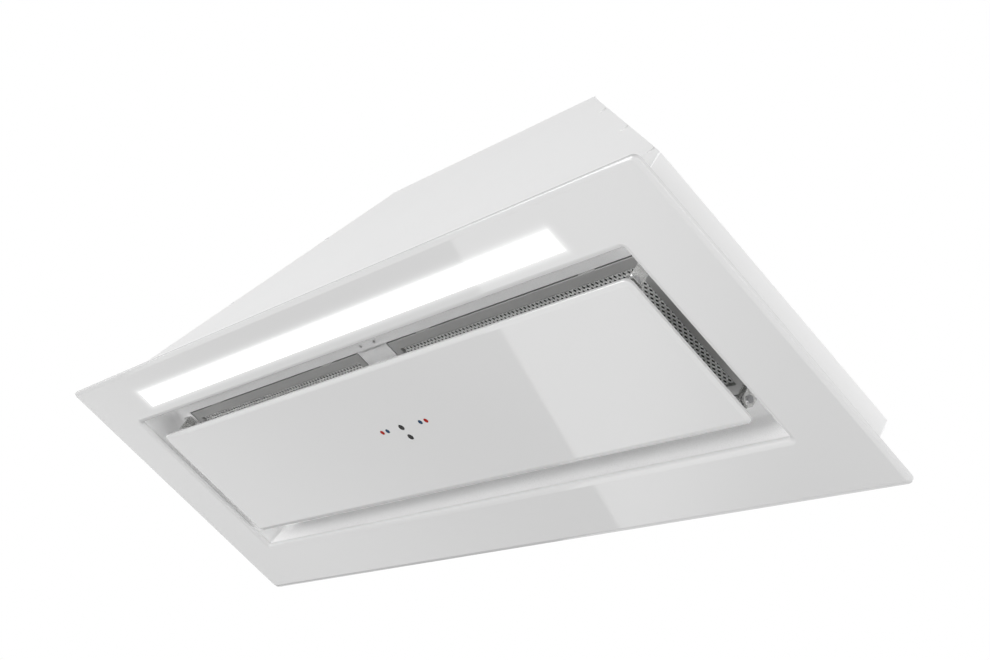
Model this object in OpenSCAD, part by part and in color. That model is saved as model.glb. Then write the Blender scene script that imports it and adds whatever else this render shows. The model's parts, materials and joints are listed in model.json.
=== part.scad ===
// Built-in range hood with a glass face, a perimeter suction panel and a light strip.
// Heights inside the modules are counted up from the lower face of the outer glass.
// The placed() module drops them so that the origin is the middle of the hanging holes,
// on the upper face of the top plate, with +Y towards the rear and +X to the right.

/* [Outer glass] */
// Length of the outer glass
glass_l = 900; // [880:1:960]
// Depth of the outer glass
glass_w = 322; // [320:1:350]
// Thickness of both glass panes
glass_t = 4; // [3:0.5:5]
// Corner radius of the outer glass
glass_r = 6; // [2:0.5:10]
// Width of the glass beyond each end of the suction opening
border_x = 68; // [62:0.5:72]
// Width of the glass along each side of the suction opening
border_y = 61.5; // [60:0.5:68]
// Corner radius of the suction opening
recess_r = 3; // [1:0.5:6]

/* [Light strip] */
// Distance from the end of the glass to the end of the light window
lens_border = 117.5; // [110:0.5:240]
// Width of the light window
lens_w = 22; // [18:0.5:24]
// Gap between the recess liner and the light housing
lens_gap = 3; // [1:0.25:4]
// Gap between the light housing and the front wall of the body
wall_gap = 0.5; // [0.3:0.1:2]
// Width of the lens rim that lies on the back of the glass
lens_rim = 2; // [1:0.5:2]
// Gap between the lens and the edge of its slot
lens_fit = 0.2; // [0.1:0.05:0.3]
// Height of the light housing above its frame
light_h = 18; // [14:1:20]
// Width of the strip board
led_board_w = 12; // [8:1:16]
// Thickness of the strip board
led_board_t = 1.2; // [0.8:0.1:2]
// Distance between neighbouring lamps on the strip board
led_pitch = 25; // [15:1:60]
// Edge of one square lamp chip
led_chip = 3; // [2:0.5:5]
// Height of one lamp chip
led_chip_h = 0.8; // [0.5:0.1:1.5]
// Length of the lamp driver
driver_l = 110; // [60:5:140]
// Height of the lamp driver
driver_h = 17; // [10:1:17]
// Length of each screw tab of the lamp driver
driver_tab = 8; // [5:1:12]

/* [Carrier frame and liner] */
// Distance from the edge of the glass to the edge of the carrier frame
frame_inset = 10; // [6:1:10]
// Thickness of the carrier frame
frame_t = 1; // [0.8:0.1:1.5]
// How far the carrier frame shows inside the opening of the glass
frame_lip = 1.5; // [1:0.25:2.5]
// Height of the recess ceiling above the lower face of the glass
ceiling_z = 33; // [31:0.5:35]
// Width of the flange that fastens the liner to the frame
liner_flange = 7.5; // [5:0.5:8]
// Width of the bridge between the two filters
bridge_w = 44; // [36:1:50]
// Height of the stiffening ribs of the bridge
bridge_rib_h = 10; // [5:1:14]

/* [Sheet-metal body] */
// Thickness of the sheet metal
sheet_t = 1; // [0.8:0.1:1.2]
// Distance from the end of the glass to the end wall of the body
body_inset_x = 25; // [23:1:30]
// Height of the upright skirt above the lower face of the glass
shoulder_z = 44.5; // [44:0.5:60]
// Height of the body above the lower face of the glass
body_z = 285; // [280:1:320]
// Length of the top of the body
top_l = 324; // [318:1:400]
// Depth of the top of the body
top_w = 198; // [194:1:220]
// Width of the flange that lies on the carrier frame
foot_flange = 12; // [10:0.5:12]
// Width of the flanges that carry the top plate
join_flange = 12; // [10:1:14]
// Width of the flanges that join the sheets along the hips
hip_flange = 9; // [8:0.5:12]
// Distance from the top of the body to the upper end of the hip flanges
hip_relief = 44; // [40:1:50]
// Radius of a rivet shank
rivet_r = 1.6; // [1.2:0.1:2]
// Radius of a rivet head
rivet_head_r = 3.2; // [2.6:0.1:4]
// Height of a rivet head
rivet_head_h = 0.5; // [0.4:0.1:1.5]
// Thickness of the foam gasket under the cabinet
gasket_t = 3; // [2:0.5:5]

/* [Top plate and hanging holes] */
// Thickness of the top plate
plate_t = 1.5; // [1.2:0.1:2.5]
// Distance from the end of the top plate to the hanging holes
hang_edge_x = 22; // [18:0.5:28]
// Distance from the side of the top plate to the hanging holes
hang_edge_y = 24; // [20:0.5:28]
// Radius of a hanging hole
hang_r = 2.75; // [2:0.25:3.5]
// Radius of a cabinet screw hole in the end walls
side_hole_r = 2.25; // [1.5:0.25:3]
// Distance from the long walls to the cabinet screw holes of an end wall
side_hole_edge = 36; // [20:1:70]
// Height of the cabinet screw holes above the lower face of the glass
side_hole_z = 25; // [16:1:32]
// Radius of the screws that hold the top plate and the duct collar
screw_r = 1.5; // [1.2:0.1:2]
// Radius of those screws' heads
screw_head_r = 3; // [2.5:0.1:3.5]
// Height of those screws' heads
screw_head_h = 1.8; // [1:0.1:2.5]

/* [Duct collar and flaps] */
// Outer radius of the duct collar
duct_r = 74.5; // [70:0.5:75]
// Wall of the duct collar
duct_wall = 2; // [1.5:0.25:3]
// Height of the duct collar above the top plate
duct_h = 60; // [50:1:80]
// Radius of the collar's foot flange
duct_flange_r = 86; // [82:0.5:88]
// Thickness of the collar's foot flange
duct_flange_t = 2; // [1.5:0.25:3]
// Height of the flap pin above the top plate
flap_z = 10; // [9:0.5:14]
// Radius of the flap pin
flap_pin_r = 1.5; // [1.2:0.1:2]
// Thickness of a flap
flap_t = 1.5; // [1:0.1:2]
// Gap between a flap and the collar wall
flap_gap = 0.8; // [0.6:0.1:1.5]
// Gap between a closed flap and the ledge below it
flap_seat_gap = 0.3; // [0.2:0.05:0.5]
// Length of one flap knuckle
knuckle_l = 14; // [8:1:18]

/* [Filters] */
// Width of the ceiling ledge at each end of the recess
end_ledge = 31; // [27:0.5:36]
// Width of the ceiling ledge along each side of the recess
side_ledge = 24; // [19:0.5:28]
// Thickness of a filter cassette
filter_t = 9; // [7:0.5:11]
// Width of the bars of a filter frame
filter_bar = 9.5; // [7:0.5:14]
// Gap between a filter and its window
filter_gap = 2; // [1.5:0.25:3]
// Thickness of the filter mesh
mesh_t = 2; // [1:0.5:4]
// Distance between the holes of the mesh
mesh_pitch = 13.5; // [12:0.5:30]
// Edge of one hole of the mesh
mesh_hole = 9.5; // [6:0.5:10]
// Width of a hanger tab
tab_w = 20; // [12:1:30]
// Length of a hanger tab beyond the filter
tab_l = 9; // [6:0.5:10]
// Length of the finger grip
grip_l = 40; // [25:1:60]
// Depth of the finger grip below the filter
grip_h = 8; // [5:0.5:9]

/* [Front panel] */
// Suction gap at each end of the front panel
gap_ends = 17.8; // [15:0.2:19]
// Suction gap along each side of the front panel
gap_sides = 24.5; // [20:0.5:26]
// How far the front panel stands below the outer glass
panel_proud = 2; // [0:0.25:2.5]
// Corner radius of the front panel
panel_r = 6; // [3:0.5:12]
// Gap between the end of the panel's tray and a hinge leaf
tray_gap = 3; // [1:0.5:10]
// Distance from the side of the front panel to the side of its tray
tray_inset_y = 12; // [10:0.5:18]
// Height of the tray rims
tray_h = 9; // [6:0.5:9.5]
// Radius of a small touch mark
mark_r = 2.6; // [2:0.1:3.5]
// Radius of a large touch mark
mark_big_r = 3.4; // [2.5:0.1:4]
// Depth of the inlaid touch marks
mark_t = 0.4; // [0.2:0.1:0.8]
// Distance from the middle mark to an outer touch mark
mark_far = 34.25; // [31:0.25:44]
// Distance from the middle mark to an inner touch mark
mark_near = 25.75; // [18:0.25:27]
// Distance between the two middle marks
mark_rise = 12.5; // [9:0.5:16]
// Length of the touch board
touch_l = 116; // [100:1:140]
// Width of the touch board
touch_w = 40; // [34:1:60]
// Thickness of the printed boards
board_t = 1.6; // [1:0.1:2]

/* [Hinges and catches] */
// Distance from the side of the front panel to the hinge axis
hinge_edge = 9; // [8:0.5:11]
// Height of the hinge axis above the lower face of the glass
hinge_z = 16; // [15:0.5:17]
// Gap between the filter window and a hinge bracket
ledge_gap = 0.5; // [0.3:0.1:2]
// Radius of a hinge pin
hinge_pin_r = 2; // [1.5:0.1:2.5]
// Radius of the rounded hinge ears
ear_r = 6; // [5:0.25:6]
// Thickness of the outer hinge ears
ear_t = 2; // [1.5:0.1:2]
// Thickness of the middle hinge ear
leaf_t = 2.5; // [2:0.1:3]
// Gap between neighbouring hinge ears
ear_gap = 0.8; // [0.5:0.1:1]
// Radius of a catch magnet
magnet_r = 5; // [4:0.25:6]
// Height of a catch magnet
magnet_h = 4; // [3:0.25:5]
// Distance from the side of the front panel to the middle of a catch
catch_edge = 11; // [9:0.5:15]

/* [Blower] */
// Radius of the impeller
wheel_r = 62; // [56:0.5:64]
// Length of the impeller
wheel_l = 92; // [80:1:94]
// Number of impeller blades
blade_n = 28; // [16:1:36]
// Radial length of a blade
blade_len = 12; // [9:0.5:14]
// Thickness of a blade
blade_t = 1.2; // [1:0.1:1.6]
// Radius of the scroll housing
scroll_r = 78; // [76:0.5:80]
// Length of the scroll housing
scroll_l = 104; // [102:1:110]
// Wall of the scroll housing
scroll_wall = 1.5; // [1:0.1:2]
// Height of the impeller axis above the lower face of the glass
blower_z = 155; // [150:1:158]
// Gap between the scroll housing and the front wall of the body
blower_gap = 8; // [4:0.5:12]
// Depth of the blower outlet
outlet_w = 82; // [76:1:84]
// Radius of the air inlets
inlet_r = 46; // [44:0.5:47]
// Width of the seat of an inlet ring on the scroll housing
inlet_seat = 8; // [5:0.5:9]
// Radius of the motor
motor_r = 34; // [28:0.5:35]
// Length of the motor
motor_l = 54; // [48:1:60]
// Radius of the motor shaft
shaft_r = 4; // [3:0.25:5]
// Running clearance of the shaft and the hinge pins
running_fit = 0.05; // [0.03:0.01:0.08]

/* [Controls box] */
// Gap between the controls box and the flanges beside it
box_gap = 4; // [2:0.5:6]
// Depth of the controls box
box_w = 120; // [100:1:122]
// Height of the controls box
box_h = 36; // [30:1:44]
// Wall of the plastic boxes
box_wall = 1.5; // [1:0.1:2]
// Radius of the bore of the cable gland
gland_bore_r = 4; // [3:0.25:4.5]
// Radius of the capacitor
cap_r = 14; // [10:0.5:16]
// Length of the capacitor
cap_l = 60; // [40:1:80]

/* [Hidden] */

// Smoothness of round shapes
round_fn = 64;
// Overshoot of a cut past the face that it leaves
cut = 1;
// Size of a solid that stands for all space on one side of a sheet
far = 700;

// Heights of the layers above the lower face of the outer glass
frame_z = glass_t + frame_t;
foot_z = frame_z + sheet_t;
plate_top_z = body_z + plate_t;
light_top_z = frame_z + light_h;
filter_top_z = ceiling_z + filter_t;
liner_top_z = ceiling_z + sheet_t;

// Suction opening, recess and panel
recess_l = glass_l - 2 * border_x;
recess_w = glass_w - 2 * border_y;
recess_x = recess_l / 2 - frame_lip;
recess_y = recess_w / 2 - frame_lip;
panel_x = recess_l / 2 - gap_ends;
panel_y = recess_w / 2 - gap_sides;
panel_top_z = glass_t - panel_proud;
frame_r = 6;

// Light window, between the liner and the front wall of the body
lens_l = glass_l - 2 * lens_border;
lens_half = lens_w / 2 + lens_rim;
lens_y = recess_y + liner_flange + lens_gap + lens_half;
lens_r = 1;
board_end_gap = 2;

// Half sizes of the body
body_x = glass_l / 2 - body_inset_x;
body_y = lens_y + lens_half + wall_gap + sheet_t;
top_x = top_l / 2;
top_y = top_w / 2;
gasket_gap = 1.5;
rivet_grip = 20;

// Filter windows in the ceiling of the recess
window_x = recess_x - end_ledge;
window_y = recess_y - side_ledge;
filter_l = window_x - bridge_w / 2 - 2 * filter_gap;
filter_w = 2 * (window_y - filter_gap);
filter_mid_x = bridge_w / 2 + filter_gap + filter_l / 2;
tab_t = 1.2;
grip_t = 1;
grip_set = 2;

// Hinges and catches sit on the ledges at the ends of the recess
ear_reach = leaf_t / 2 + ear_gap + ear_t;
hinge_x = window_x + ledge_gap + ear_reach;
hinge_y = panel_y - hinge_edge;
catch_y = panel_y - catch_edge;
base_plate_t = 1.2;
base_plate_l = 20;
bracket_screw_x = hinge_x + 8;
bracket_screw_edge = 4;
pin_head_t = 1.2;
pin_tail = 0.5;
leaf_base_t = 1.5;
leaf_base_w = 26;
leaf_base_l = 14;
leaf_edge = 4;
striker_gap = 0.3;
striker_t = 1.2;
striker_l = 14;
striker_w = 12;
striker_lip = 2;
magnet_x = hinge_x - 1;
magnet_z = panel_top_z + 7;

// Blower and duct
function wall_y(z) = body_y - (body_y - top_y) * (z - shoulder_z) / (body_z - shoulder_z);
blower_y = wall_y(blower_z) - sheet_t - blower_gap - scroll_r;
outlet_lead = 4;
outlet_front = -blower_y - outlet_lead;
duct_bore_r = duct_r - duct_wall;
flange_rim = 7;
outlet_flange = 2 * (duct_bore_r + flange_rim);
blower_flange_t = 2;
inlet_ring_t = 1.5;
motor_x0 = 8;
motor_nose_r = 20;
motor_nose_l = 4;
spider_l = 8;
spider_wall = 3;
spider_arm_w = 10;
bearing_l = 8;
bearing_wall = 3;
hub_r = 9;
hub_l = 11;
ring_t = 2;
blade_lean = 18;
nut_l = 5;
nut_set = 1;
nut_rim = 3.5;
shaft_tip = 2;
pin_z = plate_top_z + flap_z;
flap_r = duct_bore_r - flap_gap;
knuckle_r = flap_pin_r + 1.7;
knuckle_first = 52;
knuckle_second = 18;
knuckle_gap = 0.6;
pin_end_gap = 0.3;
ledge_w = 3.5;
ledge_t = 2;

// Controls box hangs under the top plate, between the blower and the end flange
box_l = top_x - join_flange - outlet_flange / 2 - 2 * box_gap;
box_x = -(outlet_flange / 2 + box_gap + box_l / 2);
box_r = 3;
lid_fit = 0.2;
lid_lip = 2;
board_gap = 1.5;
board_l = box_l - 2 * (box_wall + board_gap);
board_w = box_w - 2 * (box_wall + board_gap);
board_drop = 26;
post_r = 3;
post_inset = 7;
gland_y = -30;
gland_thread_r = gland_bore_r + 2;
gland_nut_r = gland_bore_r + 6;
gland_nut_h = 5;
gland_dome_h = 9;
gland_dome_r = gland_thread_r + 1.5;
gland_tail = 4;
transformer_l = 30;
transformer_w = 34;
transformer_h = 5;
relay_l = 14;
relay_w = 28;
relay_h = 4;
relay_x = 12;
terminal_l = 36;
terminal_w = 16;
terminal_h = 13;
terminal_y = 20;
terminal_pitch = 8;
terminal_hole_r = 1.8;
terminal_floor = 5;

// Capacitor in its clip, right of the blower
clip_t = 2;
clip_l = 14;
cap_gap = 8;
cap_x = outlet_flange / 2 + cap_gap + cap_r;
cap_z = body_z - cap_r - clip_t;

// Touch board, its chips and its plug, and its cover
mark_shift = 3.75;
mark_y = -6;
chip_l = 14;
chip_w = 12;
chip_h = 1.5;
chip_x = 33;
plug_l = 8;
plug_w = 16;
plug_h = 4;
touch_gap = 1;
cover_rim = 6;
cover_wall = 2;
cover_t = 1.5;

// Fixed hole and rivet places
rivet_shares = [0.05, 0.4, 0.75];
rivet_inset = hip_flange * 2 / 3;
plate_screw_x = [-110, 0, 110];
collar_screw_r = duct_r + 6.5;
screw_edge = 6;
hang_x = top_l - 2 * hang_edge_x;
hang_y = top_w - 2 * hang_edge_y;

// Moves a part from heights above the glass to the hanging holes
module placed() {
    translate([0, 0, -plate_top_z]) children();
}

// Flat outline with rounded corners, centred
module rounded(l, w, r) {
    square([l - 2 * r, w], center = true);
    square([l, w - 2 * r], center = true);
    for (sx = [-1, 1], sy = [-1, 1]) {
        translate([sx * (l / 2 - r), sy * (w / 2 - r)]) circle(r, $fn = round_fn);
    }
}

// Plate with rounded corners between two heights
module plate(l, w, z0, z1, r) {
    translate([0, 0, z0]) linear_extrude(z1 - z0) rounded(l, w, r);
}

// Box given by its lowest and highest corner
module block(low, high) {
    translate(low) cube([high.x - low.x, high.y - low.y, high.z - low.z]);
}

// Rod along X between two places
module rod_x(x0, x1, r) {
    translate([x0, 0, 0]) rotate([0, 90, 0]) cylinder(h = x1 - x0, r = r, $fn = round_fn);
}

// Upright rod between two heights
module rod_z(z0, z1, r) {
    translate([0, 0, z0]) cylinder(h = z1 - z0, r = r, $fn = round_fn);
}

// Flat outline in Y and Z, drawn out along X between two places
module along_x(x0, x1) {
    translate([x0, 0, 0]) rotate([90, 0, 90]) linear_extrude(x1 - x0) children();
}

// Flat outline in X and Z, drawn out along Y over the whole depth
module along_y(half) {
    translate([0, half, 0]) rotate([90, 0, 0]) linear_extrude(2 * half) children();
}

// Upright section of the body, with the wall moved inwards by a given amount
module section(half_low, half_top, inwards) {
    polygon([[-half_low + inwards, frame_z], [-half_low + inwards, shoulder_z],
             [-half_top + inwards, body_z], [half_top - inwards, body_z],
             [half_low - inwards, shoulder_z], [half_low - inwards, frame_z]]);
}

// All space behind the front wall of such a section
module behind(half_low, half_top, inwards) {
    polygon([[-half_low + inwards, -cut], [-half_low + inwards, shoulder_z],
             [-half_top + inwards, body_z], [-half_top + inwards, body_z + cut],
             [far, body_z + cut], [far, -cut]]);
}

// Solid outer shape of the body: a low skirt with a hipped hood on it
module body_solid() {
    intersection() {
        along_x(-far, far) section(body_y, top_y, 0);
        along_y(far) section(body_x, top_x, 0);
    }
}

// One long wall of the body with its foot and top flanges, drawn at the front
module long_sheet() {
    difference() {
        body_solid();
        along_x(-far, far) behind(body_y, top_y, sheet_t);
        rivet_places() rod_z(-rivet_grip, rivet_grip, rivet_r);
    }
    block([-body_x - foot_flange, -body_y - foot_flange, frame_z], [body_x + foot_flange, -body_y, foot_z]);
    block([-body_x, -body_y, frame_z], [body_x, -body_y + sheet_t, foot_z]);
    difference() {
        block([-top_x + sheet_t, -top_y + sheet_t / 2, body_z - sheet_t],
              [top_x - sheet_t, -top_y + join_flange, body_z]);
        plate_screw_places() rod_z(0, plate_top_z, screw_r);
    }
}

// One end wall of the body with its flanges, drawn at the right
module end_sheet() {
    difference() {
        intersection() {
            body_solid();
            along_x(0, far) section(body_y, top_y, sheet_t);
        }
        mirror([1, 0, 0]) along_y(far) behind(body_x, top_x, sheet_t);
        for (side = [-1, 1]) {
            translate([0, side * (body_y - side_hole_edge), side_hole_z]) rod_x(0, far, side_hole_r);
        }
    }
    block([body_x, -body_y, frame_z], [body_x + foot_flange, body_y, foot_z]);
    block([body_x - sheet_t, -body_y + sheet_t, frame_z], [body_x, body_y - sheet_t, foot_z]);
    difference() {
        for (turn = [0, 1]) {
            mirror([0, turn, 0]) join_strip();
        }
        for (turn = [0, 1]) {
            mirror([0, turn, 0]) rivet_places() rod_z(-rivet_grip, rivet_grip, rivet_r);
        }
    }
    block([top_x - join_flange, -top_y + join_flange, body_z - sheet_t],
          [top_x - sheet_t / 2, top_y - join_flange, body_z]);
}

// Flange of an end wall that lies inside the front wall, along the hip
module join_strip() {
    intersection() {
        along_x(0, far) difference() {
            section(body_y, top_y, sheet_t);
            behind(body_y, top_y, 2 * sheet_t);
        }
        along_y(far) difference() {
            section(body_x, top_x, sheet_t / 2);
            section(body_x, top_x, hip_flange);
        }
        block([0, -far, frame_z], [far, 0, body_z - hip_relief]);
    }
}

// Places of the rivets along both hips of the front wall, square to that wall
module rivet_places() {
    lean = atan2(body_y - top_y, body_z - shoulder_z);
    for (side = [-1, 1], share = rivet_shares) {
        x = body_x + (top_x - body_x) * share - rivet_inset;
        y = body_y + (top_y - body_y) * share;
        translate([side * x, -y, shoulder_z + (body_z - shoulder_z) * share])
            rotate([90 - lean, 0, 0]) children();
    }
}

// Places of the screws that hold the top plate to one long wall
module plate_screw_places() {
    for (x = plate_screw_x) {
        translate([x, -top_y + screw_edge, 0]) children();
    }
}

// Places of the screws in the foot of the duct collar
module collar_screw_places() {
    for (angle = [45 : 90 : 315]) {
        rotate(angle) translate([collar_screw_r, 0, 0]) children();
    }
}

// Screw with a flat round head, tip down
module screw(z0, z_seat) {
    rod_z(z0, z_seat, screw_r);
    rod_z(z_seat, z_seat + screw_head_h, screw_head_r);
}

// Slot-shaped cut for the light lens through the layers between two heights
module lens_shape(grow, z0, z1) {
    translate([0, -lens_y, 0]) plate(lens_l + 2 * grow, lens_w + 2 * grow, z0, z1, lens_r);
}

// Outer glass pane with the suction opening and the light window
module outer_glass() placed() color("gainsboro") {
    difference() {
        plate(glass_l, glass_w, 0, glass_t, glass_r);
        plate(recess_l, recess_w, -cut, glass_t + cut, recess_r);
        lens_shape(lens_fit, -cut, glass_t + cut);
    }
}

// Steel frame bonded to the back of the outer glass
module glass_frame() placed() color("white") {
    difference() {
        plate(glass_l - 2 * frame_inset, glass_w - 2 * frame_inset, glass_t, frame_z, frame_r);
        plate(2 * recess_x, 2 * recess_y, 0, frame_z + cut, 1);
        lens_shape(lens_rim + lens_fit, 0, frame_z + cut);
    }
}

// Opal lens, flush with the lower face of the glass, with a rim on its back
module light_lens() placed() color("white") {
    lens_shape(0, 0, glass_t);
    lens_shape(lens_rim, glass_t, frame_z);
}

// Sheet channel that closes the light strip from above
module light_housing() placed() color("silver") {
    difference() {
        lens_shape(lens_rim, frame_z, light_top_z);
        lens_shape(lens_rim - sheet_t, 0, light_top_z - sheet_t);
    }
}

// Strip board with its row of lamp chips, under the roof of the housing
module led_board() placed() color("palegreen") {
    board_z = light_top_z - sheet_t - led_board_t;
    half_l = lens_l / 2 - board_end_gap;
    count = floor((lens_l - led_pitch) / led_pitch / 2);
    translate([0, -lens_y, 0]) {
        block([-half_l, -led_board_w / 2, board_z], [half_l, led_board_w / 2, board_z + led_board_t]);
        for (i = [-count : count]) {
            block([i * led_pitch - led_chip / 2, -led_chip / 2, board_z - led_chip_h],
                  [i * led_pitch + led_chip / 2, led_chip / 2, board_z]);
        }
    }
}

// Lamp driver on the roof of the light housing
module led_driver() placed() color("whitesmoke") {
    translate([-lens_l / 4, -lens_y, 0]) {
        plate(driver_l, lens_w, light_top_z, light_top_z + driver_h, 2);
        plate(driver_l + 2 * driver_tab, lens_w / 2, light_top_z, light_top_z + 2 * sheet_t, 2);
    }
}

module front_sheet() placed() color("whitesmoke") long_sheet();

module rear_sheet() placed() color("whitesmoke") mirror([0, 1, 0]) long_sheet();

module right_end_sheet() placed() color("whitesmoke") end_sheet();

module left_end_sheet() placed() color("whitesmoke") mirror([1, 0, 0]) end_sheet();

// Rivets that join the four sheets along the hips
module body_rivets() placed() color("whitesmoke") {
    for (turn = [0, 1]) {
        mirror([0, turn, 0]) rivet_places() {
            rod_z(-2 * sheet_t, 0, rivet_r);
            rod_z(0, rivet_head_h, rivet_head_r);
        }
    }
}

// Foam ring on the foot flange, where the cabinet sits
module seat_gasket() placed() color("dimgray") {
    difference() {
        plate(2 * (body_x + foot_flange), 2 * (body_y + foot_flange), foot_z, foot_z + gasket_t, 2);
        plate(2 * (body_x + gasket_gap), 2 * (body_y + gasket_gap), 0, foot_z + gasket_t + cut, 1);
    }
}

// Top plate with the hanging holes, the duct hole and the cable hole
module top_plate() placed() color("whitesmoke") {
    difference() {
        block([-top_x, -top_y, body_z], [top_x, top_y, plate_top_z]);
        rod_z(0, plate_top_z + cut, duct_bore_r);
        for (sx = [-1, 1], sy = [-1, 1]) {
            translate([sx * hang_x / 2, sy * hang_y / 2, 0]) rod_z(0, plate_top_z + cut, hang_r);
        }
        translate([box_x, gland_y, 0]) rod_z(0, plate_top_z + cut, gland_thread_r);
        for (turn = [0, 1]) {
            mirror([0, turn, 0]) plate_screw_places() rod_z(0, plate_top_z + cut, screw_r);
        }
        collar_screw_places() rod_z(0, plate_top_z + cut, screw_r);
    }
}

// Screws that hold the top plate to the long walls, and the duct collar and blower to the top plate
module top_screws() placed() color("gray") {
    for (turn = [0, 1]) {
        mirror([0, turn, 0]) plate_screw_places() screw(body_z - sheet_t, plate_top_z);
    }
    collar_screw_places() screw(body_z - blower_flange_t, plate_top_z + duct_flange_t);
}

// White pressed liner: four walls, a ceiling with one wide window, and a foot flange
module recess_liner() placed() color("white") {
    difference() {
        union() {
            plate(2 * (recess_x + sheet_t), 2 * (recess_y + sheet_t), frame_z, liner_top_z, 2);
            plate(2 * (recess_x + liner_flange), 2 * (recess_y + liner_flange), frame_z, foot_z, 2);
        }
        plate(2 * recess_x, 2 * recess_y, 0, ceiling_z, 1);
        block([-window_x, -window_y, 0], [window_x, window_y, liner_top_z + cut]);
        bridge_rivet_places() rod_z(0, liner_top_z + cut, rivet_r);
        for (sx = [-1, 1], y = [hinge_y, -catch_y]) {
            translate([sx * bracket_screw_x, y, 0]) rod_z(0, liner_top_z + cut, screw_r);
        }
    }
}

module bridge_rivet_places() {
    for (sx = [-1, 1], sy = [-1, 1]) {
        translate([sx * bridge_w / 4, sy * (window_y + tab_l / 2), 0]) children();
    }
}

// Bridge between the two filters, with tabs on the liner and two stiffening ribs
module centre_bridge() placed() color("white") {
    rib_x = bridge_w / 2 - 2 * sheet_t;
    difference() {
        union() {
            block([-bridge_w / 2, -window_y, ceiling_z], [bridge_w / 2, window_y, liner_top_z]);
            for (sy = [-1, 1]) {
                translate([0, sy * window_y, 0])
                    block([-bridge_w / 2, -tab_l, liner_top_z], [bridge_w / 2, tab_l, liner_top_z + sheet_t]);
            }
        }
        bridge_rivet_places() rod_z(0, liner_top_z + 2 * sheet_t, rivet_r);
    }
    for (sx = [-1, 1]) {
        translate([sx * rib_x, 0, 0])
            block([-sheet_t / 2, -window_y + tab_l, liner_top_z],
                  [sheet_t / 2, window_y - tab_l, liner_top_z + bridge_rib_h]);
    }
}

module bridge_rivets() placed() color("gray") {
    bridge_rivet_places() {
        rod_z(ceiling_z, liner_top_z + sheet_t, rivet_r);
        rod_z(liner_top_z + sheet_t, liner_top_z + sheet_t + rivet_head_h, rivet_head_r);
    }
}

// Clevis under the ceiling that carries one hinge pin, drawn at the right
module hinge_bracket() {
    x0 = hinge_x - ear_reach;
    difference() {
        union() {
            block([x0, hinge_y - ear_r, ceiling_z - base_plate_t],
                  [x0 + base_plate_l, hinge_y + ear_r, ceiling_z]);
            for (x = [x0, hinge_x + ear_reach - ear_t]) {
                block([x, hinge_y - ear_r, hinge_z], [x + ear_t, hinge_y + ear_r, ceiling_z]);
                translate([0, hinge_y, hinge_z]) rod_x(x, x + ear_t, ear_r);
            }
        }
        translate([0, hinge_y, hinge_z]) rod_x(0, far, hinge_pin_r);
    }
    translate([bracket_screw_x, hinge_y, 0]) bracket_screw();
}

// Threaded stud of a bracket through the ceiling of the recess, with its nut
module bracket_screw() {
    rod_z(ceiling_z, liner_top_z, screw_r);
    rod_z(liner_top_z, liner_top_z + screw_head_h, screw_head_r);
}

module hinge_bracket_right() placed() color("silver") hinge_bracket();

module hinge_bracket_left() placed() color("silver") mirror([1, 0, 0]) hinge_bracket();

// Two hinge pins with a head at the outer end
module hinge_pins() placed() color("gray") {
    outer = hinge_x + ear_reach;
    for (turn = [0, 1]) {
        mirror([turn, 0, 0]) translate([0, hinge_y, hinge_z]) {
            rod_x(hinge_x - ear_reach - pin_tail, outer, hinge_pin_r);
            rod_x(outer, outer + pin_head_t, hinge_pin_r + pin_head_t);
        }
    }
}

// Bracket that holds one catch magnet over the panel, drawn at the right
module catch_bracket() {
    foot_top = magnet_z + magnet_h + base_plate_t;
    x_end = bracket_screw_x + bracket_screw_edge;
    translate([0, -catch_y, 0]) {
        block([hinge_x, -ear_r, ceiling_z - base_plate_t], [x_end, ear_r, ceiling_z]);
        block([hinge_x, -ear_r, foot_top - base_plate_t], [hinge_x + base_plate_t, ear_r, ceiling_z]);
        block([magnet_x - magnet_r, -ear_r, foot_top - base_plate_t],
              [hinge_x + base_plate_t, ear_r, foot_top]);
        translate([bracket_screw_x, 0, 0]) bracket_screw();
    }
}

module catch_bracket_right() placed() color("silver") catch_bracket();

module catch_bracket_left() placed() color("silver") mirror([1, 0, 0]) catch_bracket();

module catch_magnets() placed() color("dimgray") {
    for (sx = [-1, 1]) {
        translate([sx * magnet_x, -catch_y, 0]) rod_z(magnet_z, magnet_z + magnet_h, magnet_r);
    }
}

// Flat outline of the scroll and its outlet, grown or shrunk by a given amount
module scroll_outline(inwards) {
    translate([-blower_y, blower_z]) circle(scroll_r - inwards, $fn = 2 * round_fn);
    translate([outlet_front + inwards, blower_z])
        square([outlet_w - 2 * inwards, body_z - blower_z + (inwards > 0 ? cut : 0)]);
}

// Right half of the scroll housing with its round end hole and half of the outlet flange
module blower_shell() {
    difference() {
        union() {
            along_x(0, scroll_l / 2) scroll_outline(0);
            block([0, -outlet_flange / 2, body_z - blower_flange_t],
                  [outlet_flange / 2, outlet_flange / 2, body_z]);
        }
        along_x(-cut, scroll_l / 2 - scroll_wall) scroll_outline(scroll_wall);
        on_axis() rod_x(0, scroll_l, inlet_r + inlet_seat);
        collar_screw_places() rod_z(0, plate_top_z, screw_r);
    }
}

module blower_shell_right() placed() color("dimgray") blower_shell();

module blower_shell_left() placed() color("dimgray") mirror([1, 0, 0]) blower_shell();

// Everything on the impeller axis is drawn along X and then lifted to its place
module on_axis() {
    translate([0, -blower_y, blower_z]) children();
}

// Ring screwed on the left end of the scroll housing, around the left inlet
module inlet_ring() placed() color("silver") on_axis() {
    x0 = -scroll_l / 2 - inlet_ring_t;
    difference() {
        rod_x(x0, -scroll_l / 2, inlet_r + 2 * inlet_seat);
        rod_x(x0 - cut, 0, inlet_r);
    }
}

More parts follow.
